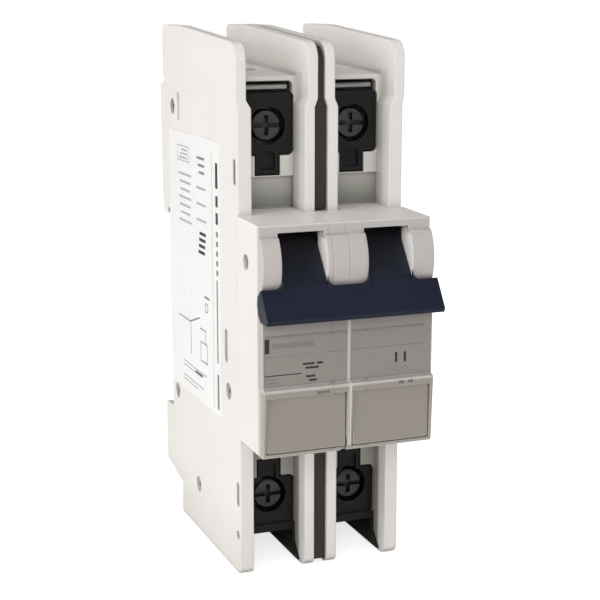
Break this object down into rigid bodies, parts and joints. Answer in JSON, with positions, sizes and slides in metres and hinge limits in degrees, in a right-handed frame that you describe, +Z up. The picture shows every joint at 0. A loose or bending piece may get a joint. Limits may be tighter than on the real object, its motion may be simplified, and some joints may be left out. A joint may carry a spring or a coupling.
{
  "type": "circuit breaker",
  "caption": "DIN-rail circuit breaker with joined handles, tall barrier walls beside its screw terminals and a sliding rail clip.",
  "frame": {"origin": "centre of the seat on the mounting rail, on the rail's front face", "axes": "+Z up, -Y out of the panel towards the user, +X to the right across the poles"},
  "size_m": [0.0366, 0.0728, 0.1105],
  "materials": {
    "barrier_plastic": "dark grey-brown fibre sheet",
    "bimetal_strip": "rolled strip",
    "bobbin_plastic": "natural",
    "case_plastic": "light warm grey, fine satin moulding",
    "clip_plastic": "black, satin",
    "copper": "bare copper",
    "guard_plastic": "black, fine grain",
    "handle_plastic": "dark navy, satin",
    "marker_plastic": "translucent taupe",
    "mechanism_plastic": "dark grey",
    "nose_plate": "grey satin print film",
    "plated_steel": "zinc plated",
    "rating_plate": "white film",
    "rivet_metal": "plated, dull",
    "steel": "ground steel",
    "tinned_copper": "dull tinned copper"
  },
  "bodies": {
    "case": {"arc_chute_left": "plated_steel", "arc_chute_right": "plated_steel", "case_cover_left": "case_plastic", "case_cover_right": "case_plastic", "case_rivets": "rivet_metal", "case_shell_left": "case_plastic", "case_shell_right": "case_plastic", "clip_spring_left": "steel", "clip_spring_right": "steel", "coil_bobbins": "bobbin_plastic", "coil_left": "copper", "coil_right": "copper", "coil_yokes": "plated_steel", "contact_braids": "copper", "contact_pins": "steel", "fixed_contact_left": "copper", "fixed_contact_right": "copper", "front_label_left": "nose_plate", "front_label_right": "nose_plate", "guard_lower_left": "guard_plastic", "guard_lower_right": "guard_plastic", "guard_upper_left": "guard_plastic", "guard_upper_right": "guard_plastic", "handle_pin": "steel", "handle_springs": "steel", "line_bar_left": "tinned_copper", "line_bar_right": "tinned_copper", "load_bar_left": "tinned_copper", "load_bar_right": "tinned_copper", "marker_cover_left": "marker_plastic", "marker_cover_right": "marker_plastic", "phase_barriers": "barrier_plastic", "side_label": "rating_plate"},
    "handle": {"toggle_left": "handle_plastic", "toggle_right": "handle_plastic", "handle_tie_bar": "handle_plastic", "tie_pin": "steel"},
    "trip_bar": {"trip_shaft": "mechanism_plastic", "trip_lever_left": "mechanism_plastic", "trip_lever_right": "mechanism_plastic"},
    "link_left": {"link_left": "steel"},
    "contact_left": {"carrier_left": "mechanism_plastic", "moving_contact_left": "copper"},
    "plunger_left": {"plunger_left": "plated_steel"},
    "bimetal_left": {"bimetal_left": "bimetal_strip"},
    "rail_clip_left": {"rail_clip_left": "clip_plastic"},
    "screw_upper_left": {"screw_upper_left": "plated_steel"},
    "cage_upper_left": {"cage_upper_left": "plated_steel"},
    "screw_lower_left": {"screw_lower_left": "plated_steel"},
    "cage_lower_left": {"cage_lower_left": "plated_steel"},
    "link_right": {"link_right": "steel"},
    "contact_right": {"carrier_right": "mechanism_plastic", "moving_contact_right": "copper"},
    "plunger_right": {"plunger_right": "plated_steel"},
    "bimetal_right": {"bimetal_right": "bimetal_strip"},
    "rail_clip_right": {"rail_clip_right": "clip_plastic"},
    "screw_upper_right": {"screw_upper_right": "plated_steel"},
    "cage_upper_right": {"cage_upper_right": "plated_steel"},
    "screw_lower_right": {"screw_lower_right": "plated_steel"},
    "cage_lower_right": {"cage_lower_right": "plated_steel"}
  },
  "joints": [
    {"name": "handle_hinge", "type": "hinge", "parent": "case", "child": "handle", "pos_m": [0, -0.0535, 0.0145], "axis": [-1, 0, 0], "range_deg": [0, 54]},
    {"name": "link_left_pin", "type": "hinge", "parent": "handle", "child": "link_left", "pos_m": [-0.00438, -0.05314, 0.01804], "axis": [1, 0, 0], "range_deg": [0, 58.2]},
    {"name": "link_right_pin", "type": "hinge", "parent": "handle", "child": "link_right", "pos_m": [0.01337, -0.05314, 0.01804], "axis": [1, 0, 0], "range_deg": [0, 58.2]},
    {"name": "contact_left_hinge", "type": "hinge", "parent": "case", "child": "contact_left", "pos_m": [-0.00887, -0.03569, 0.01], "axis": [-1, 0, 0], "range_deg": [0, 20]},
    {"name": "contact_right_hinge", "type": "hinge", "parent": "case", "child": "contact_right", "pos_m": [0.00887, -0.03569, 0.01], "axis": [-1, 0, 0], "range_deg": [0, 20]},
    {"name": "plunger_left_slide", "type": "slide", "parent": "case", "child": "plunger_left", "axis": [0, 0, -1], "range_m": [0, 0.0025]},
    {"name": "bimetal_left_flex", "type": "hinge", "parent": "case", "child": "bimetal_left", "pos_m": [-0.0091, -0.03735, -0.02], "axis": [1, 0, 0], "range_deg": [0, 3.5]},
    {"name": "plunger_right_slide", "type": "slide", "parent": "case", "child": "plunger_right", "axis": [0, 0, -1], "range_m": [0, 0.0025]},
    {"name": "bimetal_right_flex", "type": "hinge", "parent": "case", "child": "bimetal_right", "pos_m": [0.0091, -0.03735, -0.02], "axis": [1, 0, 0], "range_deg": [0, 3.5]},
    {"name": "trip_hinge", "type": "hinge", "parent": "case", "child": "trip_bar", "pos_m": [0, -0.045, -0.002], "axis": [-1, 0, 0], "range_deg": [0, 12]},
    {"name": "screw_upper_left_turn", "type": "hinge", "parent": "case", "child": "screw_upper_left", "pos_m": [-0.0091, -0.0405, 0.0395], "axis": [0, 1, 0], "range_deg": [0, 1710.5]},
    {"name": "cage_upper_left_slide", "type": "slide", "parent": "case", "child": "cage_upper_left", "axis": [0, -1, 0], "range_m": [0, 0.0038]},
    {"name": "screw_upper_right_turn", "type": "hinge", "parent": "case", "child": "screw_upper_right", "pos_m": [0.0091, -0.0405, 0.0395], "axis": [0, 1, 0], "range_deg": [0, 1710.5]},
    {"name": "cage_upper_right_slide", "type": "slide", "parent": "case", "child": "cage_upper_right", "axis": [0, -1, 0], "range_m": [0, 0.0038]},
    {"name": "screw_lower_left_turn", "type": "hinge", "parent": "case", "child": "screw_lower_left", "pos_m": [-0.0091, -0.0405, -0.0375], "axis": [0, 1, 0], "range_deg": [0, 1710.5]},
    {"name": "cage_lower_left_slide", "type": "slide", "parent": "case", "child": "cage_lower_left", "axis": [0, -1, 0], "range_m": [0, 0.0038]},
    {"name": "screw_lower_right_turn", "type": "hinge", "parent": "case", "child": "screw_lower_right", "pos_m": [0.0091, -0.0405, -0.0375], "axis": [0, 1, 0], "range_deg": [0, 1710.5]},
    {"name": "cage_lower_right_slide", "type": "slide", "parent": "case", "child": "cage_lower_right", "axis": [0, -1, 0], "range_m": [0, 0.0038]},
    {"name": "rail_clip_left_slide", "type": "slide", "parent": "case", "child": "rail_clip_left", "axis": [0, 0, -1], "range_m": [0, 0.005], "stiffness_N_per_m": 400, "springref_m": -0.001, "deforming": ["clip_spring_left"]},
    {"name": "rail_clip_right_slide", "type": "slide", "parent": "case", "child": "rail_clip_right", "axis": [0, 0, -1], "range_m": [0, 0.005], "stiffness_N_per_m": 400, "springref_m": -0.001, "deforming": ["clip_spring_right"]}
  ],
  "couplings": [
    {"joint": "link_left_pin", "follows": "handle_hinge", "ratio": 1.0769},
    {"joint": "link_right_pin", "follows": "handle_hinge", "ratio": 1.0769},
    {"joint": "contact_left_hinge", "follows": "handle_hinge", "ratio": 0.37},
    {"joint": "contact_right_hinge", "follows": "handle_hinge", "ratio": 0.37},
    {"joint": "screw_upper_left_turn", "follows": "cage_upper_left_slide", "rad_per_m": 7854},
    {"joint": "screw_upper_right_turn", "follows": "cage_upper_right_slide", "rad_per_m": 7854},
    {"joint": "screw_lower_left_turn", "follows": "cage_lower_left_slide", "rad_per_m": 7854},
    {"joint": "screw_lower_right_turn", "follows": "cage_lower_right_slide", "rad_per_m": 7854}
  ]
}
